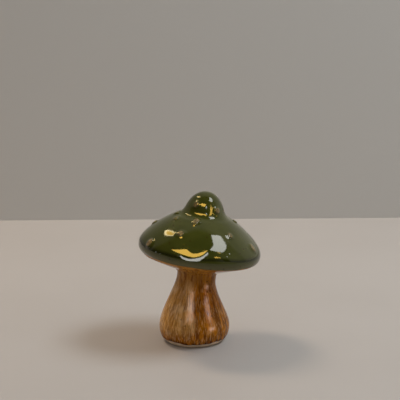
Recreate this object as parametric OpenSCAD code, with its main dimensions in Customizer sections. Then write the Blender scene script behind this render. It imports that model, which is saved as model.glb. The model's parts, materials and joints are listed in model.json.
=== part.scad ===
// Glazed ceramic mushroom ornament: a hollow cap with a knob, luted to a hollow pear-shaped stem.
// Millimetres, +Z up. The origin is the middle of the foot on the table, +X is the way the cap leans
// and -Y is the front. Nothing moves: every piece is held to the next by a layer of fired slip.

/* [Cap] */
// Width of the cap across its rim
cap_d = 84; // [78:0.2:90]
// Height of the cap from its seat on the stem to the top of the knob
cap_h = 54.2; // [52:0.2:58]
// Height of the widest line of the rim above the seat
rim_h = 15; // [14:0.2:16.4]
// Width of the knob where its side is steepest
knob_d = 26; // [23:0.2:28]
// Height of the knob above its steepest line
knob_h = 11; // [9.6:0.2:12.4]
// Thickness of the cap's wall
cap_wall = 3.6; // [3:0.1:4.2]
// Lean of the cap from upright, towards +X, in degrees
cap_lean = 7.8; // [3:0.2:9]

/* [Stem] */
// Length of the stem along its axis, from the table to its seat under the cap
stem_l = 50.4; // [46:0.2:56]
// Width of the belly
belly_d = 48.3; // [45:0.1:52]
// Height of the widest line of the belly
belly_h = 10.8; // [10:0.2:12]
// Width of the neck where it is narrowest
neck_d = 26.4; // [25:0.1:29]
// Width of the foot where it meets the table
foot_d = 39.4; // [38:0.1:42]
// Thickness of the stem's wall
stem_wall = 4; // [3.4:0.1:4.4]
// Lean of the stem from upright, towards +X, in degrees
stem_lean = 2.2; // [0:0.2:3]

/* [Base] */
// Width of the disc that closes the foot
base_d = 28.8; // [26:0.2:30]
// Thickness of the disc
base_t = 2.8; // [2.2:0.1:3]
// Height of the disc's face above the table
base_recess = 0.8; // [0.5:0.1:1]
// Width of the hole in the disc that lets hot air out in the kiln
vent_d = 9; // [7:0.5:11]

/* [Slip and dabs] */
// Thickness of the slip between two luted pieces
slip_t = 0.6; // [0.4:0.1:0.8]
// Width of a clay dab on the cap
dab_d = 5.6; // [4.6:0.2:6.4]
// Height of a clay dab above the cap
dab_h = 1.3; // [0.9:0.1:1.6]

/* [Hidden] */
// Each dab: its bearing round the cap in degrees from +X, its distance from the cap's axis as a share
// of the rim's radius, and its width as a share of dab_d. The first eleven face the front and sides.
dabs = [
    [213, 0.96, 1.1], [172, 0.78, 1], [212, 0.52, 1], [188, 0.43, 1.05],
    [242, 0.735, 1], [255, 0.455, 0.9], [237, 0.275, 0.85], [309, 0.305, 0.9],
    [309, 0.685, 0.9], [2, 0.505, 0.95], [337, 0.9, 1.1],
    [42, 0.82, 1], [62, 0.52, 0.95], [69, 0.93, 1.1], [90, 0.7, 1],
    [101, 0.42, 0.9], [114, 0.92, 1], [133, 0.6, 1.05], [147, 0.86, 1],
    [66, 0.29, 0.85], [122, 0.3, 0.9]
];

rim_r = cap_d / 2;
knob_r = knob_d / 2;
neck_r = neck_d / 2;
belly_r = belly_d / 2;
base_r = base_d / 2;
foot_r = foot_d / 2;
knob_z = cap_h - knob_h;
// The hollow between knob and brow, where the cap's side is flattest: its share of the rim's radius, and
// its share of the way up from the rim to the knob
saddle_out = 0.48;
saddle_up = 0.77;
saddle = [saddle_out * rim_r, rim_h + saddle_up * (knob_z - rim_h)];
// The line where the green glaze ends and the underside starts, in from the widest line and below it
edge_in = 3.5;
edge_drop = 6;
glaze_edge = [rim_r - edge_in, rim_h - edge_drop];

// The neck is narrowest neck_drop below the seat, then flares out to the edge of the seat
neck_drop = 7;
neck_flare = 2;
lip = 0.5;
neck_z = stem_l - neck_drop;
seat_r = neck_r + neck_flare;
flare_r = seat_r - lip;
bore_r = neck_r - stem_wall;
seat_x = stem_l * sin(stem_lean);
seat_z = stem_l * cos(stem_lean);

// The disc lies against a ledge inside the foot, and the stem's own floor is a little above the disc
ledge_w = 1.8;
floor_gap = 1.4;
floor_z = base_recess + base_t + floor_gap;
ledge_r = base_r - ledge_w;
recess_r = base_r + slip_t;

// The stem is modelled past the table and past the seat, and is then cut flat at both
foot_depth = 1.5;
foot_tuck = 1.1;
lift_over = 2.2;
reach = 70;

// The ways that the skins run where their curves meet
knob_slope = [1, -2.6];
saddle_slope = [1, -0.6];
edge_slope = [-1, -0.5];
seat_slope = [-1, -0.4];
foot_slope = [1.6, 1];
flare_slope = [0.55, 1];
level = [1, 0];
upright = [0, 1];

// Each curve of a skin: how far it is pulled at its start, at its end, and how many points it has
knob_pull = [6.6, 6, 9];
saddle_pull = [5.2, 2.8, 6];
brow_pull = [12.4, 5.4, 14];
rim_pull = [3.5, 2.8, 7];
under_pull = [8, 6, 8];
foot_pull = [2.6, 6, 8];
waist_pull = [7.4, 9.6, 16];
flare_pull = [3, 2.4, 5];
bowl_pull = [4, 3.6, 5];

green = [0.2, 0.23, 0.11];
amber = [0.52, 0.32, 0.12];
brown = [0.42, 0.26, 0.12];
clay = [0.72, 0.62, 0.5];
gold = [0.48, 0.42, 0.24];

$fn = 180;

// Names the dabs dab_01, dab_02 and so on
function dab_name(i) = str("dab_", i < 10 ? "0" : "", i);

function unit(v) = v / norm(v);

// Points of a cubic curve from a to d, pulled towards b and c, without its first point
function curve(a, b, c, d, n) = [
    for (i = [1:n]) let (t = i / n, s = 1 - t)
        s * s * s * a + 3 * s * s * t * b + 3 * s * t * t * c + t * t * t * d
];

// A smooth curve that leaves a along the direction p and reaches d along the direction q
function blend(a, p, d, q, pull) = curve(a, a + pull[0] * unit(p), d - pull[1] * unit(q), d, pull[2]);

// The way into the wall from point i of a skin whose points run with the wall on their right
function inward(skin, i) =
    let (
        here = skin[i],
        back = i > 0 ? skin[i - 1] : [-skin[1][0], skin[1][1]],
        on = i < len(skin) - 1 ? skin[i + 1] : 2 * here - back,
        along = unit(on - back)
    )
    [along[1], -along[0]];

// The skin's points from number first to number last, moved into the wall by its thickness
function inside(skin, wall, first, last) = [
    for (i = [first:last]) skin[i] + wall * inward(skin, i)
];

function part_of(list, first, last) = [for (i = [first:last]) list[i]];
function backwards(list) = [for (i = [len(list) - 1:-1:0]) list[i]];

// The cap's skin in the cap's own frame, with its height measured from the seat: over the knob, through
// the saddle, over the brow, round the rim to the glaze edge, then under the cap to the seat
crown = [0, cap_h];
knob_side = [knob_r, knob_z];
rim_side = [rim_r, rim_h];
knob_skin = concat([crown], blend(crown, level, knob_side, knob_slope, knob_pull));
saddle_skin = blend(knob_side, knob_slope, saddle, saddle_slope, saddle_pull);
brow_skin = blend(saddle, saddle_slope, rim_side, -upright, brow_pull);
rim_skin = blend(rim_side, -upright, glaze_edge, edge_slope, rim_pull);
under_start = glaze_edge + slip_t * unit(edge_slope);
under_skin = blend(under_start, edge_slope, [seat_r, 0], seat_slope, under_pull);
cap_skin = concat(knob_skin, saddle_skin, brow_skin, rim_skin, [under_start], under_skin);
dome_end = len(cap_skin) - len(under_skin) - 2;
under_first = dome_end + 1;
cap_end = len(cap_skin) - 1;
dome_skin = part_of(cap_skin, 0, dome_end);

// The stem's skin in the stem's own frame, from below the table up to above the seat, and its hollow
foot_start = [foot_r - foot_tuck, -foot_depth];
belly = [belly_r, belly_h];
neck = [neck_r, neck_z];
flare_end = [flare_r, stem_l - slip_t];
stem_top = flare_end + lift_over * flare_slope;
foot_skin = blend(foot_start, foot_slope, belly, upright, foot_pull);
waist_skin = blend(belly, upright, neck, upright, waist_pull);
flare_skin = blend(neck, upright, flare_end, flare_slope, flare_pull);
stem_skin = concat([foot_start], foot_skin, waist_skin, flare_skin, [stem_top]);
belly_start = len(foot_skin);
belly_end = belly_start + len(waist_skin);
stem_hollow = concat(
    [[0, floor_z]],
    blend([ledge_r, floor_z], level, [belly_r - stem_wall, belly_h], upright, bowl_pull),
    [for (i = [belly_start + 1:belly_end]) stem_skin[i] - stem_wall * inward(stem_skin, i)],
    [[bore_r, stem_top[1]]]
);

// The heights of the dome's skin above the seat, listed against distance from the cap's axis
brow_points = len(knob_skin) + len(saddle_skin) + len(brow_skin);
function dome_z(r) = lookup(r, part_of(cap_skin, 0, brow_points - 1));
// The way out of the dome at a distance r from its axis
function outward(r) =
    let (step = 0.4, rise = dome_z(min(r + step, rim_r)) - dome_z(r - step))
    unit([-rise, min(r + step, rim_r) - r + step]);

// Carries a piece from the cap's own frame to its place on the leaning stem
module on_stem() {
    translate([seat_x, 0, seat_z])
        rotate([0, cap_lean, 0])
            children();
}

module turned(outline) {
    rotate_extrude()
        polygon(outline);
}

// The cap's upper shell with its knob and rolled rim, open below
module cap_dome() {
    color(green)
        on_stem()
            turned(concat(dome_skin, backwards(inside(cap_skin, cap_wall, 0, dome_end))));
}

// The dished shell that closes the cap from below and has the flat seat and the hole of the neck
module cap_underside() {
    lining = inside(cap_skin, cap_wall, under_first, cap_end);
    top = lining[len(lining) - 1];
    color(amber)
        on_stem()
            turned(concat(
                part_of(cap_skin, under_first, cap_end),
                [[bore_r, 0], [bore_r, top[1]]],
                backwards(lining)
            ));
}

// The layer of slip between the rolled rim and the underside
module rim_slip_joint() {
    joint = inside(cap_skin, cap_wall, dome_end, under_first);
    color(clay)
        on_stem()
            turned([cap_skin[dome_end], cap_skin[under_first], joint[1], joint[0]]);
}

// The layer of slip between the stem's top and the seat under the cap
module neck_slip_joint() {
    color(clay)
        on_stem()
            turned([
                [bore_r, -slip_t], [seat_r - slip_t, -slip_t],
                [seat_r, 0], [bore_r, 0]
            ]);
}

// The hollow stem, ground flat at the foot, cut to the cap's lean at the top and bored for the disc
module stem() {
    color(brown)
        difference() {
            rotate([0, stem_lean, 0])
                turned(concat([[0, -foot_depth]], stem_skin, backwards(stem_hollow)));
            on_stem()
                translate([0, 0, -slip_t])
                    cylinder(r = reach / 2, h = reach / 2);
            translate([0, 0, -reach / 2])
                cylinder(r = reach, h = reach / 2);
            translate([0, 0, -foot_depth])
                cylinder(r = recess_r, h = foot_depth + base_recess + base_t);
            translate([0, 0, -foot_depth])
                cylinder(r = ledge_r, h = foot_depth + floor_z);
        }
}

// The unglazed clay disc that closes the foot, with its vent hole
module base_disc() {
    color(clay)
        difference() {
            translate([0, 0, base_recess])
                cylinder(d = base_d, h = base_t);
            cylinder(d = vent_d, h = floor_z);
        }
}

// The ring of slip between the disc and the foot
module foot_slip_joint() {
    color(clay)
        translate([0, 0, base_recess])
            difference() {
                cylinder(r = recess_r, h = base_t);
                translate([0, 0, -base_recess])
                    cylinder(r = base_r, h = floor_z);
            }
}

// One low dab of clay: the top of a ball, facing straight out of the dome and standing dab_h above it
module dab(i) {
    bearing = dabs[i][0];
    r = dabs[i][1] * rim_r;
    half = dabs[i][2] * dab_d / 2;
    ball_r = (half * half + dab_h * dab_h) / (2 * dab_h);
    way = outward(r);
    centre = [r, dome_z(r)] - (ball_r - dab_h) * way;
    color(gold)
        on_stem()
            difference() {
                rotate([0, 0, bearing])
                    translate([centre[0], 0, centre[1]])
                        rotate([0, atan2(way[0], way[1]), 0])
                            sphere(r = ball_r);
                turned(concat(dome_skin, [[0, glaze_edge[1]]]));
            }
}

cap_dome();
cap_underside();
rim_slip_joint();
stem();
neck_slip_joint();
base_disc();
foot_slip_joint();
for (i = [0:len(dabs) - 1]) {
    dab(i);
}
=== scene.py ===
import json
import math

import bpy
import numpy as np
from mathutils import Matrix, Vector

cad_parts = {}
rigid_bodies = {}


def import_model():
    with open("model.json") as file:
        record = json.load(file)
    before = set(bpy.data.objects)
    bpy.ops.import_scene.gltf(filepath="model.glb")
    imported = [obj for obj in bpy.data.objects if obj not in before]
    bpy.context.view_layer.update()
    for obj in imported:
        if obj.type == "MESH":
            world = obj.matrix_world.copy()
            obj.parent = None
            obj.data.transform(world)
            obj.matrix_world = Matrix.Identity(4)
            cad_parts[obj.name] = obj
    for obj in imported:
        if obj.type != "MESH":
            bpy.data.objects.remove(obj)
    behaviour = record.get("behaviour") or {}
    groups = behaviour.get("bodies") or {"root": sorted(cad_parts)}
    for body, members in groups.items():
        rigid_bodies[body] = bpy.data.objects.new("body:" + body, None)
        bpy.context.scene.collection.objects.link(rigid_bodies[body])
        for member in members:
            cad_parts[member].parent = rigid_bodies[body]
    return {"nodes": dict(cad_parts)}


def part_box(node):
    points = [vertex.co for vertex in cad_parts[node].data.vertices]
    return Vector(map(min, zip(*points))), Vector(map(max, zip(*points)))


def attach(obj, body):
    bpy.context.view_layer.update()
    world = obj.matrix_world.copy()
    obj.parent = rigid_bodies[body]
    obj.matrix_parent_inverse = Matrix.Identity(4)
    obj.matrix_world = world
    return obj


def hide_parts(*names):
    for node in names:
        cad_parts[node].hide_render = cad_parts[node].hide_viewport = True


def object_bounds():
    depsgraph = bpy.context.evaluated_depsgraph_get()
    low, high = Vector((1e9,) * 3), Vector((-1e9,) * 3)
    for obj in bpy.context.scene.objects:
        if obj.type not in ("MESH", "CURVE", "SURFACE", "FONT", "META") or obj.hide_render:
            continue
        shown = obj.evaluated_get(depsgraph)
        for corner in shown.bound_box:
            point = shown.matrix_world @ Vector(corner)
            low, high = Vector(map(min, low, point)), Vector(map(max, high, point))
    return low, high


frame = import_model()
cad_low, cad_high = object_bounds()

# The foot. A disc of bare stoneware closes the hollow stem from below. It is set in a ring of slip
# and left without glaze, so that the pot can stand in the kiln. Both keep their solids.
mm = 0.001
clay_pale = (0.84, 0.68, 0.51, 1)
clay_shade = (0.33, 0.24, 0.15, 1)
flash_w = 9 * mm
dry_patch_w = 2 * mm
sand_w, sand_relief = 0.35 * mm, 0.04
pit_w, pit_relief = 1.1 * mm, 0.06


def add(tree, kind, feeds=(), **settings):
    """Adds a shader node. feeds gives its sockets numbers, colours or the outputs that lead in."""
    made = tree.nodes.new("ShaderNode" + kind)
    for name, value in settings.items():
        setattr(made, name, value)
    for socket, value in dict(feeds).items():
        if isinstance(value, bpy.types.NodeSocket):
            tree.links.new(value, made.inputs[socket])
        else:
            made.inputs[socket].default_value = value
    return made


def place(tree):
    """The point being shaded, in metres in the object's own frame."""
    return add(tree, "TexCoord").outputs["Object"]


def lumps(tree, where, size, detail=2, **more):
    """Smooth noise from 0 to 1 whose lumps are about size metres wide."""
    feeds = {"Vector": where, "Scale": 1 / size, "Detail": detail, **more}
    return add(tree, "TexNoise", feeds).outputs["Fac"]


def step(tree, value, start, end, low=0, high=1):
    """low up to start and high from end, with an S-curve between them."""
    feeds = {"Value": value, "From Min": start, "From Max": end, "To Min": low, "To Max": high}
    return add(tree, "MapRange", feeds, interpolation_type="SMOOTHSTEP").outputs["Result"]


def sums(tree, operation, first, second, third=0):
    """One sum of numbers, such as MULTIPLY or MULTIPLY_ADD."""
    return add(tree, "Math", {0: first, 1: second, 2: third}, operation=operation).outputs[0]


def tint(tree, share, first, second):
    """The first colour turning into the second as share goes from 0 to 1."""
    return add(tree, "Mix", {0: share, 6: first, 7: second}, data_type="RGBA").outputs[2]


def finish(name, colour_of, gloss, relief, shine=None):
    """A material: colour_of(tree) gives its colour, gloss(tree) its roughness, and relief(tree) a height
    in millimetres that a Bump node turns into normals. shine(tree) is 0.5 for plain glass, less for a
    glaze that mirrors less."""
    made = bpy.data.materials.new(name)
    made.use_nodes = True
    tree = made.node_tree
    shader = tree.nodes["Principled BSDF"]
    shader.inputs["IOR"].default_value = 1.5
    if shine:
        tree.links.new(shine(tree), shader.inputs["Specular IOR Level"])
    tree.links.new(colour_of(tree), shader.inputs["Base Color"])
    tree.links.new(gloss(tree), shader.inputs["Roughness"])
    bump = add(tree, "Bump", {"Height": relief(tree), "Distance": mm, "Strength": 1})
    tree.links.new(bump.outputs["Normal"], shader.inputs["Normal"])
    return made


def new_group(name, inputs, outputs):
    """An empty node group whose inputs are numbers with their usual values. Gives back its tree and the
    sockets that those inputs come in by."""
    tree = bpy.data.node_groups.new(name, "ShaderNodeTree")
    for socket, value in inputs.items():
        made = tree.interface.new_socket(socket, in_out="INPUT", socket_type="NodeSocketFloat")
        made.default_value = value
    for socket, kind in outputs.items():
        tree.interface.new_socket(socket, in_out="OUTPUT", socket_type="NodeSocket" + kind)
    return tree, tree.nodes.new("NodeGroupInput").outputs


def group_out(tree, **results):
    """Leads the results to the group's outputs of the same names."""
    end = tree.nodes.new("NodeGroupOutput")
    for name, result in results.items():
        tree.links.new(result, end.inputs[name])


def use(tree, group, output, **feeds):
    """Places a node group in a tree, gives its inputs numbers or other outputs, and hands on one of its
    own outputs."""
    return add(tree, "Group", feeds, node_tree=group).outputs[output]


def clay_grain_group():
    """Bare fired stoneware: pale clay with darker flashes, sandy grain and small pits."""
    tree, given = new_group("clay_grain", {"flash": 0.5}, {"Colour": "Color", "Height": "Float"})
    where = place(tree)
    flashes = step(tree, lumps(tree, where, flash_w, 3), 0.4, 0.72)
    flashes = sums(tree, "MULTIPLY", flashes, given["flash"])
    sand = lumps(tree, where, sand_w, 3)
    pits = step(tree, lumps(tree, where, pit_w, 1), 0.24, 0.34)
    colour = tint(tree, flashes, clay_pale, clay_shade)
    colour = tint(tree, step(tree, sand, 0.52, 0.8, 0, 0.5), colour, clay_shade)
    height = sums(tree, "MULTIPLY_ADD", sand, sand_relief, sums(tree, "MULTIPLY", pits, pit_relief))
    group_out(tree, Colour=colour, Height=height)
    return tree


clay_grain = clay_grain_group()


def bare_clay(name, flash):
    """Unglazed stoneware as it leaves the kiln, dry and rough."""
    return finish(
        name,
        lambda tree: use(tree, clay_grain, "Colour", flash=flash),
        lambda tree: step(tree, lumps(tree, place(tree), dry_patch_w), 0.2, 0.8, 0.72, 0.9),
        lambda tree: use(tree, clay_grain, "Height", flash=flash),
    )


for node, flash in (("base_disc", 0.5), ("foot_slip_joint", 1.0)):
    frame["nodes"][node].data.materials.clear()
    frame["nodes"][node].data.materials.append(bare_clay(node + "_clay", flash))

# The stem. A hollow pear of stoneware, thrown in one and pulled up into a neck that leans and flares
# into the cap. Its brown glaze ran down it in streaks and stopped in dark beads above the bare foot.
stem_low, stem_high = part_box("stem")
disc_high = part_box("base_disc")[1]
disc_slip_t = 0.6 * mm
ledge_w = 1.8 * mm
belly_r = (stem_high.y - stem_low.y) / 2
belly_h = 10.8 * mm
foot_r = 19.7 * mm
foot_round = 0.6 * mm
foot_inset = 1.2 * mm
neck_r = 13.4 * mm
neck_h = 44.6 * mm
top_r = 14.7 * mm
stem_l = 50.4 * mm
stem_wall = 4 * mm
recess_r = disc_high.x + disc_slip_t
ledge_r = disc_high.x - ledge_w
ledge_h = disc_high.z
cap_lean = math.radians(7.8)
foot_line = 2.8 * mm
glaze_skin_t, glaze_edge_w = 0.3 * mm, 0.5 * mm
bead_t, bead_up, bead_w, bead_lobes = 0.22 * mm, 0.9 * mm, 0.7 * mm, 11
calm_h = 6 * mm
stem_set_in = 0.1 * mm
below_glaze = -5 * mm
crease = math.radians(50)
turn_steps, path_steps = 320, 400
nudge = 0.01


def unit(v):
    """The vector v made one long."""
    return np.array(v, float) / np.linalg.norm(v)


def leg(start, leave, pull, end, arrive, push):
    """Control points of a curve that leaves start along leave, pulled for the length pull, and reaches
    end along arrive, held back by push: start, start + pull leave, end - push arrive, end."""
    return [start, start + pull * unit(leave), end - push * unit(arrive), end]


def along(legs, u):
    """Points at u on curves laid end to end. The leg's number is the whole part of u, its share t is
    the rest, and the point is (1-t)^3 a + 3(1-t)^2 t b + 3(1-t) t^2 c + t^3 d."""
    number = np.clip(u.astype(int), 0, len(legs) - 1)
    t = (u - number)[..., None]
    a, b, c, d = (legs[number, k] for k in range(4))
    return (1 - t) ** 3 * a + 3 * (1 - t) ** 2 * t * b + 3 * (1 - t) * t * t * c + t**3 * d


def out_of(legs, u):
    """The unit normal of such curves, a quarter turn to the left of the way that they run."""
    after, before = (np.clip(u + side, 0, len(legs)) for side in (nudge, -nudge))
    ahead = along(legs, after) - along(legs, before)
    way = np.stack([-ahead[..., 1], ahead[..., 0]], -1)
    return way / np.linalg.norm(way, axis=-1, keepdims=True)


def s_curve(x):
    """0 below 0, 1 above 1, and 3x^2 - 2x^3 between."""
    x = np.clip(x, 0, 1)
    return x * x * (3 - 2 * x)


def ripple(turn, level, waves):
    """A sum of waves. Each has a height, a whole number of lobes round the axis, a rate along the
    profile and a start: height * sin(lobes * turn + rate * level + start)."""
    return sum(height * np.sin(lobes * turn + rate * level + start)
               for height, lobes, rate, start in waves)


def stations(*stretches):
    """Levels along a profile: from start to end in so many even steps, for each stretch in turn."""
    steps = [np.linspace(start, end, number, endpoint=False) for start, end, number in stretches]
    return np.concatenate([*steps, [stretches[-1][1]]])


def skin_mesh(name, points, ring, marks):
    """A closed mesh over a grid of points (rows, columns, 3). Columns go once round the axis. With
    ring the last row joins the first; otherwise the first and last rows each close on one pole point.
    marks are numbers that the mesh carries at its points, for its material."""
    rows, columns = points.shape[:2]
    index = np.arange(rows * columns).reshape(rows, columns)
    here = index if ring else index[:-1]
    below = np.roll(index, -1, 0) if ring else index[1:]
    quads = np.stack([here, below, np.roll(below, -1, 1), np.roll(here, -1, 1)], -1).reshape(-1, 4)
    places = points.reshape(-1, 3)
    faces = quads.tolist()
    marks = {key: np.broadcast_to(value, (rows, columns)).ravel() for key, value in marks.items()}
    if not ring:
        first, last = rows * columns, rows * columns + 1
        places = np.concatenate([places, points[:1].mean(1), points[-1:].mean(1)])
        top, bottom = index[0], index[-1]
        faces += np.stack([np.full(columns, first), top, np.roll(top, -1)], -1).tolist()
        faces += np.stack([np.full(columns, last), np.roll(bottom, -1), bottom], -1).tolist()
        marks = {
            key: np.concatenate([value, [value[:columns].mean(), value[-columns:].mean()]])
            for key, value in marks.items()
        }
    mesh = bpy.data.meshes.new(name)
    mesh.from_pydata(places, [], faces)
    mesh.shade_smooth()
    mesh.set_sharp_from_angle(angle=crease)
    for key, value in marks.items():
        mesh.attributes.new(key, "FLOAT", "POINT").data.foreach_set("value", value.astype(np.float32))
    piece = bpy.data.objects.new(name, mesh)
    bpy.context.scene.collection.objects.link(piece)
    return piece


def settle(piece, material, slot, *nodes):
    """Gives a piece its material, puts it in place of its nodes and lets it ride. slot is not used."""
    piece.data.materials.append(material)
    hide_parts(*nodes)
    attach(piece, "root")


flare, neck = np.array([top_r, stem_l]), np.array([neck_r, neck_h])
belly, foot_edge = np.array([belly_r, belly_h]), np.array([foot_r, foot_round])
stem_skin = np.array([
    leg(flare, [-0.5, -1], 2.6 * mm, neck, [0, -1], 3 * mm),
    leg(neck, [0, -1], 9.4 * mm, belly, [0, -1], 8.6 * mm),
    leg(belly, [0, -1], 6 * mm, foot_edge, [-1.3, -1], 2.6 * mm),
    leg(foot_edge, [-1.3, -1], 0.5 * mm, np.array([foot_r - foot_inset, 0]), [-1, 0], 0.5 * mm),
])
path_foot, path_top = np.array([-0.1 * mm, 0]), np.array([2.3 * mm, stem_l])
stem_path = np.array([leg(path_foot, [0, 1], 27 * mm, path_top, [0.12, 1], 12 * mm)])
stem_waves = ((0.07 * mm, 2, 60, 0.5), (0.07 * mm, 3, -110, 2.1), (0.05 * mm, 5, 190, 4.0))
foot_waves = (
    (0.35 * mm, 2, 0, 1.0), (0.3 * mm, 5, 0, 0.2), (0.22 * mm, 9, 0, 2.4), (0.13 * mm, 17, 0, 4.4)
)
stem_hollow = np.array([
    (recess_r, 0), (recess_r, ledge_h), (ledge_r, ledge_h), (ledge_r, ledge_h + 1.4 * mm),
    (ledge_r + 2 * mm, ledge_h + 1.5 * mm), (belly_r - stem_wall, belly_h),
    (belly_r - stem_wall - 3 * mm, belly_h + 12 * mm), (neck_r - stem_wall + 2 * mm, neck_h - 8 * mm),
    (neck_r - stem_wall, stem_l)
])


def along_stem(radius, height, turn):
    """A ring of the stem: its centre runs up the bowed path, its plane tips from level at the foot to
    the cap's lean at the top, and the point stands at radius * (cos turn, sin turn) in that plane."""
    path = along(stem_path, np.linspace(0, 1, path_steps))
    middle = np.interp(height, path[:, 1], path[:, 0])
    tip = cap_lean * s_curve(height / stem_l)
    x = middle + radius * np.cos(turn) * np.cos(tip)
    z = height - radius * np.cos(turn) * np.sin(tip)
    return np.stack(np.broadcast_arrays(x, radius * np.sin(turn), z), -1)


def stem_shell():
    """The stem's outer skin from the seat down to the foot, then the flat of the foot, the recess for
    the disc, and the hollow back up. Below the wavy foot line the skin is set in by the glaze's own
    thickness. Above it stands a roll of glaze, bead_t exp(-((above - bead_up) / bead_w)^2), which
    swells and sinks round the pot. The thrown ripple dies out within calm_h of both ends."""
    levels = stations((0, 1, 25), (1, 2, 75), (2, 2.62, 25), (2.62, 3, 39), (3, 4, 7))
    turn = np.linspace(0, 2 * np.pi, turn_steps, endpoint=False)[None, :]
    skin, way = along(stem_skin, levels), out_of(stem_skin, levels)
    height = skin[:, 1:]
    above = height - (foot_line + ripple(turn, 0, foot_waves))
    coat = glaze_skin_t * (s_curve(above / glaze_edge_w) - 1)
    bead = bead_t * np.exp(-(((above - bead_up) / bead_w) ** 2))
    bead = bead * (0.55 + 0.45 * np.sin(bead_lobes * turn + 1))
    thrown = s_curve(height / calm_h) * s_curve((stem_l - height) / calm_h)
    lift = coat + bead - stem_set_in + ripple(turn, height, stem_waves) * thrown
    outer = along_stem(skin[:, :1] + lift * way[:, :1], height + lift * way[:, 1:] * thrown, turn)
    inner = along_stem(stem_hollow[:, :1], stem_hollow[:, 1:], turn)
    marks = {"above_line": np.concatenate([above, np.full(inner.shape[:2], below_glaze)])}
    return skin_mesh("stem_shell", np.concatenate([outer, inner]), True, marks)


sag_w, peel_w = 7 * mm, 1.3 * mm
wrap_r = 20 * mm


def orange_peel_group():
    """The faint ripple of a glaze that melted and set: broad sags and a finer skin, in millimetres."""
    tree, given = new_group("orange_peel", {"sag": 0.03, "peel": 0.004}, {"Height": "Float"})
    where = place(tree)
    sag = sums(tree, "MULTIPLY", lumps(tree, where, sag_w, 1), given["sag"])
    peel = sums(tree, "MULTIPLY", lumps(tree, where, peel_w, 1), given["peel"])
    group_out(tree, Height=sums(tree, "ADD", sag, peel))
    return tree


def iron_specks_group():
    """Dark specks where iron in the clay bled into the glaze: soft round spots in a cell pattern, kept
    only in the cells whose own random number is above few."""
    tree, given = new_group("iron_specks", {"spacing": 2.5 * mm, "few": 0.8}, {"Mask": "Float"})
    scale = sums(tree, "DIVIDE", 1, given["spacing"])
    cells = add(tree, "TexVoronoi", {"Vector": place(tree), "Scale": scale})
    pick = add(tree, "SeparateColor", {"Color": cells.outputs["Color"]}).outputs[0]
    size = step(tree, pick, 0, 1, 0.02, 0.3)
    spot = sums(tree, "LESS_THAN", cells.outputs["Distance"], size)
    soft = step(tree, sums(tree, "DIVIDE", cells.outputs["Distance"], size), 1, 0.45)
    kept = sums(tree, "GREATER_THAN", pick, given["few"])
    group_out(tree, Mask=sums(tree, "MULTIPLY", sums(tree, "MULTIPLY", soft, spot), kept))
    return tree


def glaze_runs_group():
    """Streaks of a glaze that ran down a round pot. The noise is read at (cos, sin) round the axis, so
    it has no seam, and the height is shortened, so its lumps become long vertical runs."""
    usual = {"width": 3 * mm, "stretch": 9, "wander": 0.4}
    tree, given = new_group("glaze_runs", usual, {"Mask": "Float"})
    split = add(tree, "SeparateXYZ", {0: place(tree)})
    flat = add(tree, "CombineXYZ", {0: split.outputs[0], 1: split.outputs[1], 2: 0})
    way = add(tree, "VectorMath", {0: flat.outputs[0]}, operation="NORMALIZE").outputs[0]
    round_r = add(tree, "VectorMath", {0: way, 3: wrap_r}, operation="SCALE").outputs[0]
    rise = sums(tree, "DIVIDE", split.outputs[2], given["stretch"])
    spot = add(tree, "CombineXYZ", {2: rise}).outputs[0]
    spot = add(tree, "VectorMath", {0: round_r, 1: spot}, operation="ADD").outputs[0]
    scale = sums(tree, "DIVIDE", 1, given["width"])
    feeds = {"Vector": spot, "Scale": scale, "Detail": 3, "Distortion": given["wander"]}
    group_out(tree, Mask=add(tree, "TexNoise", feeds).outputs["Fac"])
    return tree


orange_peel = orange_peel_group()
iron_specks = iron_specks_group()
glaze_runs = glaze_runs_group()

stem_tan = (0.64, 0.33, 0.085, 1)
stem_grey = (0.76, 0.49, 0.24, 1)
stem_amber = (0.48, 0.165, 0.003, 1)
stem_brown = (0.15, 0.040, 0.001, 1)
stem_neck = (0.31, 0.125, 0.003, 1)
stem_dark = (0.035, 0.010, 0.001, 1)
patch_w, cloud_w, shine_patch_w = 11 * mm, 7 * mm, 6 * mm
tan_right, tan_left = 7 * mm, -8 * mm
tan_low, tan_high = 1 * mm, 15 * mm
neck_low, neck_high = 36 * mm, 47 * mm
foot_blots_low, foot_blots_high = 5 * mm, 14 * mm
beads_low, beads_high = 0.8 * mm, 3.2 * mm


def mark(tree, name):
    """A number that the mesh carries at its points."""
    return add(tree, "Attribute", attribute_name=name).outputs["Fac"]


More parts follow.
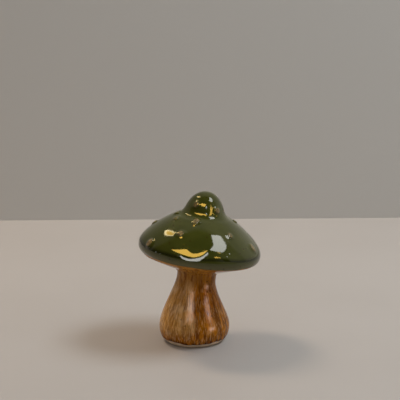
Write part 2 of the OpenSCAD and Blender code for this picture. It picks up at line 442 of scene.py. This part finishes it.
def stem_colour(tree):
    """Amber glaze that lies tan and grey in patches, most of them on the left and above the foot. Over
    it come brown runs and thin threads, a darker neck, brown blots at both ends, and specks. Dark
    beads stand above the foot line, and the clay is bare below it."""
    where = place(tree)
    split = add(tree, "SeparateXYZ", {0: where})
    rise = split.outputs[2]
    to_left = step(tree, split.outputs[0], tan_right, tan_left, 0, 0.8)
    to_middle = step(tree, rise, tan_low, tan_high)
    broad = use(tree, glaze_runs, "Mask", width=3.2 * mm, stretch=5, wander=0.4)
    fine = use(tree, glaze_runs, "Mask", width=1.1 * mm, stretch=6.5, wander=0.7)
    thread = use(tree, glaze_runs, "Mask", width=0.5 * mm, stretch=8, wander=0.4)
    lumpy = sums(tree, "MULTIPLY", lumps(tree, where, patch_w, 2), 0.5)
    patch = sums(tree, "MULTIPLY_ADD", to_left, to_middle, lumpy)
    tan = step(tree, sums(tree, "MULTIPLY_ADD", fine, 0.9, patch), 0.85, 1.4)
    colour = tint(tree, tan, stem_amber, stem_tan)
    clouds = step(tree, lumps(tree, where, cloud_w, 3), 0.42, 0.62, 0, 0.8)
    colour = tint(tree, sums(tree, "MULTIPLY", tan, clouds), colour, stem_grey)
    less = sums(tree, "MULTIPLY_ADD", tan, -0.45, 0.85)
    colour = tint(tree, sums(tree, "MULTIPLY", step(tree, broad, 0.48, 0.62), less), colour, stem_brown)
    colour = tint(tree, sums(tree, "MULTIPLY", step(tree, fine, 0.5, 0.6), less), colour, stem_brown)
    colour = tint(tree, step(tree, thread, 0.46, 0.36, 0, 0.5), colour, stem_grey)
    colour = tint(tree, step(tree, thread, 0.56, 0.66, 0, 0.5), colour, stem_brown)
    colour = tint(tree, step(tree, rise, neck_low, neck_high, 0, 0.7), colour, stem_neck)
    upper = step(tree, rise, neck_low, neck_high - 3 * mm)
    lower = step(tree, rise, foot_blots_high, foot_blots_low, 0, 0.8)
    blots = use(tree, glaze_runs, "Mask", width=2.6 * mm, stretch=3, wander=0.8)
    blots = step(tree, blots, 0.5, 0.64, 0, 0.75)
    blots = sums(tree, "MULTIPLY", sums(tree, "MAXIMUM", upper, lower), blots)
    colour = tint(tree, blots, colour, stem_brown)
    specks = use(tree, iron_specks, "Mask", spacing=3 * mm, few=0.9)
    colour = tint(tree, sums(tree, "MULTIPLY", specks, 0.7), colour, stem_dark)
    above = mark(tree, "above_line")
    near_line = step(tree, above, beads_high, beads_low)
    beads = sums(tree, "MULTIPLY", near_line, step(tree, fine, 0.36, 0.6))
    colour = tint(tree, beads, colour, stem_dark)
    bare = step(tree, above, 0.1 * mm, -0.05 * mm)
    return tint(tree, bare, colour, use(tree, clay_grain, "Colour"))


def stem_gloss(tree):
    """Satin where glazed, dry where the foot is bare."""
    return step(tree, mark(tree, "above_line"), 0.2 * mm, -0.1 * mm, 0.22, 0.8)


def soft_shine(tree):
    """The faint mirror of a satin glaze, fainter where it lies thin."""
    return step(tree, lumps(tree, place(tree), shine_patch_w), 0.3, 0.7, 0.1, 0.17)


def stem_relief(tree):
    """The glaze's own ripple, and runs that stand up 0.03 mm."""
    ripples = use(tree, orange_peel, "Height", sag=0.05, peel=0.008)
    runs = use(tree, glaze_runs, "Mask", width=2.2 * mm, stretch=8)
    return sums(tree, "ADD", ripples, sums(tree, "MULTIPLY", runs, 0.03))


stem_glaze = finish("streaked_brown_glaze", stem_colour, stem_gloss, stem_relief, soft_shine)
settle(stem_shell(), stem_glaze, "brown_glaze", "stem")

# The neck joint. Slip between the stem and the cap, wiped round with a finger into a small cove before
# the first firing, and glazed over with the rest.
stem_lean = math.radians(2.2)
seat = np.array([stem_l * math.sin(stem_lean), 0, stem_l * math.cos(stem_lean)])
cove_r = 16.2 * mm
cove_top = 0.6 * mm
cove_t = 1.5 * mm
cove_in = 0.5 * mm
cove_wave = 0.1 * mm
cove_columns = 160
bore_r = 9.4 * mm
bore_top = 0.25 * mm
deep_in_glaze = 5 * mm


def lean_onto_stem(points):
    """Points of the cap's own frame tipped by its lean about Y and carried to the seat:
    (x cos a + z sin a, y, z cos a - x sin a) + seat."""
    x, y, z = points[..., 0], points[..., 1], points[..., 2]
    cosine, sine = math.cos(cap_lean), math.sin(cap_lean)
    return np.stack([x * cosine + z * sine, y, z * cosine - x * sine], -1) + seat


def neck_cove():
    """A ring whose outer face curves in from the underside to the stem. In section it is a quarter of
    an ellipse: radius cove_r - (cove_r - top_r + cove_in) sin(swing), height cove_top - (cove_top +
    cove_t) (1 - cos(swing)). A wave of three lobes runs round it."""
    swing = np.linspace(0, np.pi / 2, 10)
    radius = np.concatenate([cove_r - (cove_r - top_r + cove_in) * np.sin(swing), [bore_r, bore_r]])
    height = cove_top - (cove_t + cove_top) * (1 - np.cos(swing))
    height = np.concatenate([height, [-cove_t, bore_top]])
    turn = np.linspace(0, 2 * np.pi, cove_columns, endpoint=False)[None, :]
    radius, height = radius[:, None], height[:, None] + cove_wave * np.sin(3 * turn)
    points = np.stack(np.broadcast_arrays(radius * np.cos(turn), radius * np.sin(turn), height), -1)
    return skin_mesh("neck_cove", lean_onto_stem(points), True, {"above_line": deep_in_glaze})


settle(neck_cove(), stem_glaze, "fired_slip", "neck_slip_joint")

# The underside of the cap. A dished shell that closes the cap from below, luted to the rolled rim and
# seated on the neck. It took the same amber glaze as the stem, up to the dipped edge of the green.
dome_low, dome_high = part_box("cap_dome")
rim_r = (dome_high.y - dome_low.y) / 2
cap_h = 54.2 * mm
rim_h = 15 * mm
knob_r = 13 * mm
knob_h = cap_h - 11 * mm
edge_in, edge_down = 3.5 * mm, 6 * mm
lute_w = 0.6 * mm
seat_r = 15.2 * mm
cap_wall = 3.6 * mm
top_gap = 0.06 * mm
knob_top, knob_side = np.array([0, cap_h - top_gap]), np.array([knob_r, knob_h])
saddle = np.array([0.48 * rim_r, rim_h + 0.77 * (knob_h - rim_h)])
rim_side = np.array([rim_r, rim_h])
dome_edge = np.array([rim_r - edge_in, rim_h - edge_down])
under_start = dome_edge + lute_w * unit([-1, -0.5])
cap_skin = np.array([
    leg(knob_top, [1, 0], 6.6 * mm, knob_side, [1, -2.6], 6 * mm),
    leg(knob_side, [1, -2.6], 5.2 * mm, saddle, [1, -0.6], 2.8 * mm),
    leg(saddle, [1, -0.6], 12.4 * mm, rim_side, [0, -1], 5.4 * mm),
    leg(rim_side, [0, -1], 3.5 * mm, dome_edge, [-1, -0.5], 2.8 * mm),
    leg(dome_edge, [-1, -0.5], 0.2 * mm, under_start, [-1, -0.5], 0.2 * mm),
    leg(under_start, [-1, -0.5], 8 * mm, np.array([seat_r, 0]), [-1, -0.4], 6 * mm),
])
dome_end, under_end = 4, 6
cap_waves = (
    (0.08 * mm, 2, 1.9, 0.4), (0.08 * mm, 3, -2.6, 1.9), (0.05 * mm, 5, 3.7, 3.6),
    (0.03 * mm, 8, -5.1, 0.8)
)
cap_set_in = 0.2 * mm
cap_calm_r, cap_calm_level = 16 * mm, 0.5
cap_columns = 400
dip_waves = (
    (1.0 * mm, 1, 0, 2.27), (0.25 * mm, 2, 0, 0.6), (0.2 * mm, 3, 0, 2.2), (0.2 * mm, 7, 0, 0.3),
    (0.12 * mm, 13, 0, 5.0)
)
dip_line = 9.9 * mm
under_sag = 0.7 * mm
sag_from, sag_over = 3.5, 0.8


def on_cap(u, turn, rise):
    """The point that stands rise out of the cap's skin, at u along its profile and turn round its
    axis. The skin carries a low ripple that dies out towards the axis, and is set in by cap_set_in so
    that it keeps to the solid. The underside sags by under_sag at the raised side of the cap and is
    drawn in as much at the other."""
    skin, way = along(cap_skin, u), out_of(cap_skin, u)
    fade = s_curve(skin[..., 0] / cap_calm_r) * s_curve((under_end - u) / cap_calm_level)
    sag = -under_sag * np.cos(turn) * s_curve((u - sag_from) / sag_over)
    sag = sag * s_curve((under_end - u) / sag_over)
    lift = rise + (ripple(turn, u, cap_waves) - cap_set_in) * fade + sag
    radius, height = skin[..., 0] + lift * way[..., 0], skin[..., 1] + lift * way[..., 1]
    return lean_onto_stem(np.stack([radius * np.cos(turn), radius * np.sin(turn), height], -1))


def above_dip(u, turn):
    """How far a point of the cap's skin lies above the wavy edge of the green glaze."""
    return along(cap_skin, u)[..., 1] - dip_line - ripple(turn, 0, dip_waves)


def cap_grid(levels):
    """Profile levels and turns as two arrays of one shape, for a grid of points."""
    return np.meshgrid(levels, np.linspace(0, 2 * np.pi, cap_columns, endpoint=False), indexing="ij")


def cap_ring(name, first, last, rows):
    """A ring of the cap's wall between two levels: its outer skin and, a wall's thickness in, its
    lining."""
    outer, turn = cap_grid(np.linspace(first, last, rows))
    inner, turn_in = cap_grid(np.linspace(last, first, rows // 2 + 2))
    points = np.concatenate([on_cap(outer, turn, 0), on_cap(inner, turn_in, -cap_wall)])
    marks = {
        "above_dip": np.concatenate([above_dip(outer, turn), np.full(inner.shape, below_glaze)]),
        "above_line": deep_in_glaze, "thin": 0, "pool": 0
    }
    return skin_mesh(name, points, True, marks)


green_deep = (0.042, 0.046, 0.0052, 1)
green_mid = (0.062, 0.065, 0.010, 1)
green_thin = (0.115, 0.103, 0.032, 1)
green_brown = (0.040, 0.024, 0.004, 1)
# Near black, for a band of painted shade round the brow.
green_painted_shade = (0.005, 0.006, 0.0006, 1)
amber_warm = (0.46, 0.20, 0.028, 1)
amber_deep = (0.22, 0.075, 0.006, 1)
dip_soft = 0.15 * mm
green_cloud_w, green_grain_w = 16 * mm, 0.9 * mm
amber_patch_w, gloss_patch_w = 5 * mm, 11 * mm


def green_tone(tree, thin, pool):
    """Olive glaze in the depth that it lies, browner where it drew thin, and near black in a band of
    painted shade round the brow.
    """
    where = place(tree)
    cloud = step(tree, lumps(tree, where, green_cloud_w, 2), 0.3, 0.75)
    grain = step(tree, lumps(tree, where, green_grain_w, 3), 0.4, 0.75, 0, 0.35)
    colour = tint(tree, cloud, green_deep, green_mid)
    colour = tint(tree, grain, colour, green_deep)
    # The band of painted shade round the brow, near black.
    colour = tint(tree, pool, colour, green_painted_shade)
    colour = tint(tree, thin, colour, green_thin)
    specks = use(tree, iron_specks, "Mask", spacing=2.2 * mm, few=0.8)
    return tint(tree, specks, colour, green_brown)


def amber_tone(tree):
    """The amber glaze under the cap, warm where thin and deeper where it gathered in patches."""
    gather = step(tree, lumps(tree, place(tree), amber_patch_w, 3), 0.42, 0.7, 0, 0.9)
    colour = tint(tree, gather, amber_warm, amber_deep)
    specks = use(tree, iron_specks, "Mask", spacing=3 * mm, few=0.8)
    return tint(tree, specks, colour, stem_dark)


def cap_colour(tree):
    """Green above the dipped edge and amber below it. The green drew thin over the last 5 mm, and all
    of it in the last 0.7 mm."""
    above = mark(tree, "above_dip")
    drawn = step(tree, above, 5 * mm, 1 * mm, 0, 0.75)
    drawn = sums(tree, "MAXIMUM", drawn, step(tree, above, 0.7 * mm, 0.1 * mm))
    drawn = sums(tree, "MAXIMUM", mark(tree, "thin"), drawn)
    # The third mark is painted shade: a near-black band round the brow.
    green = green_tone(tree, drawn, mark(tree, "pool"))
    return tint(tree, step(tree, above, dip_soft, -dip_soft), green, amber_tone(tree))


def cap_shine(tree):
    """Glass-clear on the green, and duller on the thin amber below the dipped edge."""
    return step(tree, mark(tree, "above_dip"), dip_soft, -dip_soft, 0.5, 0.12)


def glassy(tree):
    """The even gloss of a clear-running glaze, a touch softer in patches."""
    return step(tree, lumps(tree, place(tree), gloss_patch_w), 0.3, 0.8, 0.045, 0.085)


cap_glaze = finish(
    "dipped_cap_glaze", cap_colour, glassy,
    lambda tree: use(tree, orange_peel, "Height", sag=0.02), cap_shine
)
underside = cap_ring("underside_shell", dome_end + 1, under_end, rows=40)
settle(underside, cap_glaze, "amber_glaze", "cap_underside")

# The rim joint. A thin line of slip that lutes the underside into the rolled rim. It was brushed on
# wet before the first firing, and the glaze covers it.
rim_lute = cap_ring("rim_lute", dome_end, dome_end + 1, rows=4)
settle(rim_lute, cap_glaze, "fired_slip", "rim_slip_joint")

# The dome. The upper shell of the cap with its knob, saddle, brow and rolled rim. The clay was pressed
# up a little round each dab, and the glaze drew thin there. dab_looks gives, for each dab in turn, how
# far the glaze broke to gold on it and how long it is down the slope against its width.
dab_nodes = sorted(name for name in frame["nodes"] if name.startswith("dab_"))
dab_h = 1.3 * mm
half_share = 0.46


def place_of(node):
    """Where a dab sits on the cap: its level along the profile, its turn and its half width, from the
    middle of its solid carried back into the cap's own frame."""
    low, high = (np.array(corner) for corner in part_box(node))
    off = (low + high) / 2 - seat
    cosine, sine = math.cos(cap_lean), math.sin(cap_lean)
    x, y, z = off[0] * cosine - off[2] * sine, off[1], off[0] * sine + off[2] * cosine
    levels = np.linspace(0, dome_end, 2000)
    gap = np.linalg.norm(along(cap_skin, levels) - [math.hypot(x, y), z], axis=1)
    return levels[gap.argmin()], math.atan2(y, x), half_share * (high - low).max()


dab_places = [place_of(node) for node in dab_nodes]
dab_looks = [
    (1.0, 1.4), (0.5, 1.0), (0.35, 1.0), (0.15, 1.0), (0.8, 1.0), (0.7, 1.1), (0.75, 1.2),
    (0.8, 1.1), (0.6, 1.1), (0.3, 1.0), (0.7, 1.35)
] + [(0.6, 1.1)] * 10
swell_most, swell_end, swell_over = 0.5, 1.8, 1.1
thin_most, thin_end, thin_over = 0.4, 1.3, 0.5
# A band of painted shade round the brow, just above the rim's widest line: where it lies along the
# profile, how dark it gets, how it fades and reaches, and its waves.
painted_shade_level, painted_shade_depth, painted_shade_fade = 2.92, 0.72, 0.08
painted_shade_reach, painted_shade_more = 0.11, 0.09
painted_shade_waves = ((0.03, 2, 0, 0.9), (0.02, 3, 0, 2.0), (0.015, 7, 0, 1.1))
pole_level = 0.03


def painted_shade_band(u, turn):
    """How strongly a band of painted shade darkens the green to near black, up to its full depth: an
    S-curve up and an S-curve down across a wavy line round the brow, just above the widest line of the
    rim. It reaches farther up on the lower side of the leaning cap."""
    line = painted_shade_level + ripple(turn, 0, painted_shade_waves)
    reach = painted_shade_reach - painted_shade_more * np.cos(turn) * s_curve(-np.cos(turn))
    shade_starts, ends = s_curve((u - line + reach) / reach), s_curve((line + painted_shade_fade - u) / painted_shade_fade)
    return painted_shade_depth * shade_starts * ends


def dome_shell():
    """The dome's outer skin from the knob's top to the glaze edge, swollen round each dab by
    swell_most broken dab_h times an S-curve of the distance, and its lining back up to the axis. The
    distance counts in half widths of the dab, and so does the thin mark's."""
    outer, turn = cap_grid(stations((pole_level, 1, 39), (1, 2, 25), (2, 3, 83), (3, dome_end, 35)))
    flat = on_cap(outer, turn, 0)
    swell, thin = np.zeros(outer.shape), np.zeros(outer.shape)
    for (level, bearing, half), (broken, _) in zip(dab_places, dab_looks):
        middle = on_cap(np.array(level), np.array(bearing), 0)
        share = np.linalg.norm(flat - middle, axis=-1) / half
        rise = swell_most * broken * dab_h * s_curve((swell_end - share) / swell_over)
        swell = np.maximum(swell, rise)
        thin = np.maximum(thin, thin_most * broken * s_curve((thin_end - share) / thin_over))
    inner, turn_in = cap_grid(np.linspace(dome_end, pole_level, 26))
    points = np.concatenate([on_cap(outer, turn, swell), on_cap(inner, turn_in, -cap_wall)])
    lining = np.zeros(inner.shape)
    marks = {
        "above_dip": np.concatenate([above_dip(outer, turn), lining + below_glaze]),
        "above_line": deep_in_glaze, "thin": np.concatenate([thin, lining]),
        # The band of painted shade round the brow.
        "pool": np.concatenate([painted_shade_band(outer, turn), lining])
    }
    return skin_mesh("dome_shell", points, False, marks)


settle(dome_shell(), cap_glaze, "green_glaze", "cap_dome")

# The dabs. Small buttons of clay pressed on the dome by hand. The green glaze broke to gold-brown where
# it ran thin over them, and fades back to green round their edges.
dab_gold = (0.34, 0.235, 0.105, 1)
dab_brown = (0.14, 0.09, 0.036, 1)
dab_cloud_w = 1.5 * mm
dab_bed = 0.5 * mm
dab_columns = 44


def dab_button(name, level, bearing, half, number):
    """A low button. At the share s of its half width its top stands out of the dome by
    (0.6 + 0.25 broken) dab_h (1 - 0.3 s^2) - 1.1 dab_h S((s - 0.7) / 0.42), with S an S-curve, so it
    drops at the edge. Its underside lies dab_bed inside the dome's wall. Waves of two and three lobes
    keep its outline from being round."""
    turn = np.linspace(0, 2 * np.pi, dab_columns, endpoint=False)[None, :]
    top = np.concatenate([np.linspace(0.08, 0.8, 11), np.linspace(0.84, 1.06, 9)])[:, None] + 0 * turn
    bed = top[::-3]
    broken, longer = dab_looks[number]
    drop = 1.1 * dab_h * s_curve((top - 0.7) / 0.42)
    rise = (0.6 + 0.25 * broken) * dab_h * (1 - 0.3 * top**2) - drop
    rise = np.concatenate([rise, np.full(bed.shape, -dab_bed)])
    share = np.concatenate([top, bed])
    wobble = 1 + 0.05 * np.sin(2 * turn + number) + 0.035 * np.sin(3 * turn + 2.3 * number)
    down = longer * half * (share * wobble) * np.cos(turn)
    across = half * (share * wobble) * np.sin(turn)
    before, here, after = along(cap_skin, level + nudge * np.array([-1, 0, 1]))
    pace = np.linalg.norm(after - before) / (2 * nudge)
    points = on_cap(np.clip(level + down / pace, 0, dome_end), bearing - across / here[0], rise)
    return skin_mesh(name, points, False, {"edge": share, "broken": broken})


def dab_colour(tree):
    """Tan clouded with brown, fading to the dome's green at the edge, each dab in its own strength."""
    cloud = lumps(tree, place(tree), dab_cloud_w, 2)
    out = sums(tree, "MULTIPLY_ADD", cloud, 0.6, mark(tree, "edge"))
    colour = tint(tree, step(tree, cloud, 0.38, 0.62), dab_brown, dab_gold)
    colour = tint(tree, mark(tree, "broken"), green_mid, colour)
    return tint(tree, step(tree, out, 0.85, 1.25, 0, 0.85), colour, green_mid)


dab_glaze = finish(
    "broken_gold_glaze", dab_colour, glassy,
    lambda tree: use(tree, orange_peel, "Height", sag=0.05, peel=0.02)
)
for number, (node, spot) in enumerate(zip(dab_nodes, dab_places)):
    button = dab_button(node.replace("dab", "button"), *spot, number)
    settle(button, dab_glaze, "dab_glaze", node)

# The stage. A plain pale table top with a plain wall behind it, which shows only from its front. In the
# glaze's reflections the table ends a little way in front of the object and the room is dark there.
table_colour = (0.466, 0.429, 0.402, 1)
table_shade = (0.403, 0.366, 0.338, 1)
wall_colour = (0.625, 0.60, 0.565, 1)
room_dark = (0.03, 0.028, 0.022, 1)
table_half, table_tone_w = 3, 0.12
table_front, table_fade = -0.36, 0.02
wall_y, wall_half, wall_h = 0.375, 2, 1.1


def sheet(name, corners, material, only_seen=False):
    """A flat four-cornered sheet of the stage. With only_seen it neither reflects nor shades."""
    mesh = bpy.data.meshes.new(name)
    mesh.from_pydata(corners, [], [(0, 1, 2, 3)])
    mesh.materials.append(material)
    made = bpy.data.objects.new(name, mesh)
    made.visible_diffuse = made.visible_glossy = made.visible_shadow = not only_seen
    bpy.context.scene.collection.objects.link(made)


def table_top():
    """Pale matt paint in two faint tones. To a glossy ray it is dark past its front edge."""
    made = bpy.data.materials.new("table_top")
    made.use_nodes = True
    tree = made.node_tree
    shader = tree.nodes["Principled BSDF"]
    shader.inputs["Roughness"].default_value = 0.6
    tone = step(tree, lumps(tree, place(tree), table_tone_w, 3), 0.3, 0.7, 0, 0.25)
    tree.links.new(tint(tree, tone, table_colour, table_shade), shader.inputs["Base Color"])
    front = add(tree, "SeparateXYZ", {0: place(tree)}).outputs[1]
    past = step(tree, front, table_front, table_front - table_fade)
    glossy = add(tree, "LightPath").outputs["Is Glossy Ray"]
    gone = sums(tree, "MULTIPLY", past, glossy)
    dark = add(tree, "Emission", {"Color": room_dark})
    mix = add(tree, "MixShader", {0: gone, 1: shader.outputs[0], 2: dark.outputs[0]})
    tree.links.new(mix.outputs[0], tree.nodes["Material Output"].inputs["Surface"])
    return made


def wall_paint():
    """Pale matt paint that a ray coming from behind passes straight through."""
    made = bpy.data.materials.new("wall_paint")
    made.use_nodes = True
    tree = made.node_tree
    shader = tree.nodes["Principled BSDF"]
    shader.inputs["Base Color"].default_value = wall_colour
    shader.inputs["Roughness"].default_value = 0.8
    back = add(tree, "NewGeometry").outputs["Backfacing"]
    clear = add(tree, "BsdfTransparent")
    mix = add(tree, "MixShader", {0: back, 1: shader.outputs[0], 2: clear.outputs[0]})
    tree.links.new(mix.outputs[0], tree.nodes["Material Output"].inputs["Surface"])
    return made


round_sheet = ((-1, 0), (1, 0), (1, 1), (-1, 1))
table_corners = [(table_half * x, table_half * (2 * y - 1), 0) for x, y in round_sheet]
wall_corners = [(wall_half * x, wall_y, wall_h * z) for x, z in round_sheet]
sheet("table", table_corners, table_top())
sheet("wall", wall_corners, wall_paint(), only_seen=True)

# The light. Soft window light from the right, a warm lamp behind on the left, and the shapes of lamps
# and windows that show only as reflections in the glaze. The room is dim in front and pale behind.
object_middle = (cad_low + cad_high) / 2
brow_point = np.array([0, -35, 62]) * mm
knob_point = np.array([14.5, -10, 95]) * mm
belly_point = np.array([4, -22, 20]) * mm
gleam_lilac = (1, 0.94, 0.98, 1)
window_white = (1, 1, 0.95, 1)
lamp_gold = (1, 0.60, 0.11, 1)
lamp_cream = (1, 0.80, 0.42, 1)
shape_columns, shape_rows = 40, 5


def heading(a, e):
    """Unit vectors (sin a cos e, -cos a cos e, sin e) for bearings a and elevations e in radians."""
    return np.stack([np.sin(a) * np.cos(e), -np.cos(a) * np.cos(e), np.sin(e)], -1)


def softbox(name, bearing, elevation, distance, width, height, radiance, colour):
    """A rectangular lamp that lights only matt surfaces. It faces the object from a bearing (0 is the
    front, 90 the right) and an elevation in degrees; its power is pi * area * radiance."""
    lamp = bpy.data.lights.new(name, "AREA")
    lamp.shape = "RECTANGLE"
    lamp.size, lamp.size_y = width, height
    lamp.energy = math.pi * width * height * radiance
    lamp.color = colour
    made = bpy.data.objects.new(name, lamp)
    way = Vector(heading(math.radians(bearing), math.radians(elevation)))
    made.location = object_middle + distance * way
    made.rotation_euler = way.to_track_quat("Z", "Y").to_euler()
    made.visible_camera = made.visible_glossy = False
    bpy.context.scene.collection.objects.link(made)


def glow(name, colour, strength, nearest, farthest):
    """A material that gives out even light from its front to what lies between the two distances from
    it, and is clear to everything else."""
    made = bpy.data.materials.new(name)
    made.use_nodes = True
    tree = made.node_tree
    shine = add(tree, "Emission", {"Color": colour, "Strength": strength})
    length = add(tree, "LightPath").outputs["Ray Length"]
    near, far = sums(tree, "LESS_THAN", length, nearest), sums(tree, "GREATER_THAN", length, farthest)
    behind = add(tree, "NewGeometry").outputs["Backfacing"]
    clear = sums(tree, "MAXIMUM", behind, sums(tree, "ADD", near, far))
    nothing = add(tree, "BsdfTransparent").outputs[0]
    mix = add(tree, "MixShader", {0: clear, 1: shine.outputs[0], 2: nothing})
    tree.links.new(mix.outputs[0], tree.nodes["Material Output"].inputs["Surface"])
    made.cycles.emission_sampling = "NONE"
    return made


def reflection(name, seen_from, distance, edges, colour, strength, shown_in=None, between=(0, 9)):
    """A shape that shows only in the glaze and, where shown_in names some pieces, only in those. It is
    part of a sphere round a point of the object. edges lists bearings with the elevations of the
    shape's lower and upper edge, in degrees as seen from that point. It shows where the mirrored way
    from the glaze to the shape is between two lengths."""
    bearings, lows, highs = np.radians(np.array(edges, float)).T
    a = np.linspace(bearings[0], bearings[-1], shape_columns)[:, None]
    v = np.linspace(0, 1, shape_rows)[None, :]
    e = (1 - v) * np.interp(a, bearings, lows) + v * np.interp(a, bearings, highs)
    way = heading(a + 0 * v, e)
    index = np.arange(shape_columns * shape_rows).reshape(shape_columns, shape_rows)
    quads = np.stack([index[:-1, :-1], index[:-1, 1:], index[1:, 1:], index[1:, :-1]], -1)
    mesh = bpy.data.meshes.new(name)
    mesh.from_pydata((seen_from + distance * way).reshape(-1, 3), [], quads.reshape(-1, 4).tolist())
    mesh.materials.append(glow(name, colour, strength, *between))
    made = bpy.data.objects.new(name, mesh)
    made.visible_camera = made.visible_diffuse = made.visible_shadow = False
    bpy.context.scene.collection.objects.link(made)
    if shown_in:
        made.light_linking.receiver_collection = shown_in


def group_of(name, pieces):
    """A collection that lists pieces for light linking."""
    made = bpy.data.collections.new(name)
    for piece in pieces:
        made.objects.link(piece)
    return made


cap_names = ("dome_shell", "rim_lute", "underside_shell", "button_")
in_cap = group_of("cap_pieces", [
    piece for piece in bpy.data.objects if piece.name.startswith(cap_names)
])
in_stem = group_of("stem_pieces", [bpy.data.objects["stem_shell"]])
softbox(
    "right_window", bearing=88, elevation=56, distance=1.3, width=0.66, height=0.42,
    radiance=9.5, colour=(0.86, 1, 1.1)
)
softbox(
    "left_lamp", bearing=-130, elevation=55, distance=1.3, width=0.26, height=0.36,
    radiance=20, colour=(1, 0.82, 0.64)
)
reflection("window", brow_point, 1.2, [
    (56, 62, 64), (66, 55, 64), (76, 49, 64), (90, 48.5, 66), (97, 49, 67), (106, 55, 68), (109, 57, 60)
], window_white, 7.6)
reflection("left_window", brow_point, 1.2, [
    (-139, 43, 45), (-132, 46, 58), (-125, 51, 62), (-117, 63, 65)
], lamp_cream, 12)
reflection("left_core", brow_point, 1.1, [
    (-136, 47, 48), (-131, 49, 56), (-126, 53, 60), (-121, 60, 62)
], lamp_gold, 8)
reflection("gold_lamp", brow_point, 0.6, [
    (-65, 51, 52), (-50, 50, 60), (-36, 48, 66), (-26, 46, 68), (-15, 43, 63), (-6, 41, 58),
    (5, 47, 59), (18, 54, 62), (32, 61, 64), (45, 64, 65)
], lamp_gold, 15, in_cap, between=(583.5 * mm, 591.6 * mm))
reflection("low_window", brow_point, 0.5, [
    (-35, 35, 39), (-29, 12, 34), (-23, -3, 28), (-14, -2, 25), (-6, 4, 31), (2, 11, 38),
    (11, 33, 45), (23, 48, 53), (40, 58, 61)
], window_white, 9, in_cap, between=(487.4 * mm, 493.8 * mm))
reflection("gold_spot", brow_point, 0.7, [(65, 53, 55), (70, 48, 51)], lamp_gold, 12, in_cap)
spark_places = ((-88, 4), (-78, 1), (74, 36), (85, 39))
spark_half_w, spark_half_h = 0.6, 0.8
for bearing, elevation in spark_places:
    reflection("spark", brow_point, 0.5, [
        (bearing + side, elevation - spark_half_h, elevation + spark_half_h)
        for side in (-spark_half_w, spark_half_w)
    ], window_white, 16, in_cap)
reflection("gold_streak", knob_point, 0.6, [
    (38, 26, 33), (43, 22, 46), (50, 21, 60), (54, 19, 27), (78, 20, 26)
], lamp_gold, 12, in_cap, between=(599.7 * mm, 602.6 * mm))
for name, edges, strength in (
    ("stem_gleam", [(-32, 24, 42), (-4, 24, 42)], 19),
    ("right_gleam", [(54, 18, 38), (67, 16, 36)], 26),
    ("low_gleam", [(48, -4, 4), (70, -4, 4)], 34)
):
    reflection(name, belly_point, 0.6, edges, gleam_lilac, strength, in_stem)

world = bpy.data.worlds.new("room")
bpy.context.scene.world = world
world.use_nodes = True
room_pale = (0.44, 0.41, 0.345, 1)
room_back = (0.52, 0.485, 0.415, 1)
room_above = (0.42, 0.385, 0.35, 1)
room_level = (0.22, 0.20, 0.18, 1)
wall_seen = (0.287, 0.258, 0.230, 1)


def room_light(tree):
    """Light for matt surfaces that is strongest from above, the wall's tone for the camera, and for the
    glaze a room that is dim in front, paler on the right and palest behind."""
    way = add(tree, "SeparateXYZ", {0: add(tree, "TexCoord").outputs["Generated"]}).outputs
    behind = step(tree, way[1], 0.06, 0.2)
    right = step(tree, way[0], 0.45, 0.95, 0, 0.6)
    behind = sums(tree, "MULTIPLY", behind, step(tree, way[0], -0.6, 0.1, 0.4, 1))
    pale = sums(tree, "MAXIMUM", behind, right)
    path = add(tree, "LightPath").outputs
    plain = tint(tree, step(tree, way[2], 0, 0.7), room_level, room_above)
    far = tint(tree, step(tree, way[2], 0.8, 0.35), room_pale, room_back)
    seen = tint(tree, path["Is Glossy Ray"], plain, tint(tree, pale, room_dark, far))
    return tint(tree, path["Is Camera Ray"], seen, wall_seen)


background = world.node_tree.nodes["Background"]
world.node_tree.links.new(room_light(world.node_tree), background.inputs["Color"])

# The camera. It stands 0.84 m in front of the ornament and 0.28 m above the table, looks down on it by
# about 12 degrees and is turned a touch to the right.
camera_place = (0.00445, -0.844, 0.276)
camera_down, camera_right = 11.9, 0.4
lens = bpy.data.cameras.new("camera")
lens.lens = 115
lens.clip_start, lens.clip_end = 0.01, 20
camera = bpy.data.objects.new("camera", lens)
camera.location = camera_place
camera.rotation_mode = "ZYX"
camera.rotation_euler = (math.radians(90 - camera_down), 0, math.radians(-camera_right))
bpy.context.scene.collection.objects.link(camera)
bpy.context.scene.camera = camera
bpy.context.scene.view_settings.view_transform = "Standard"
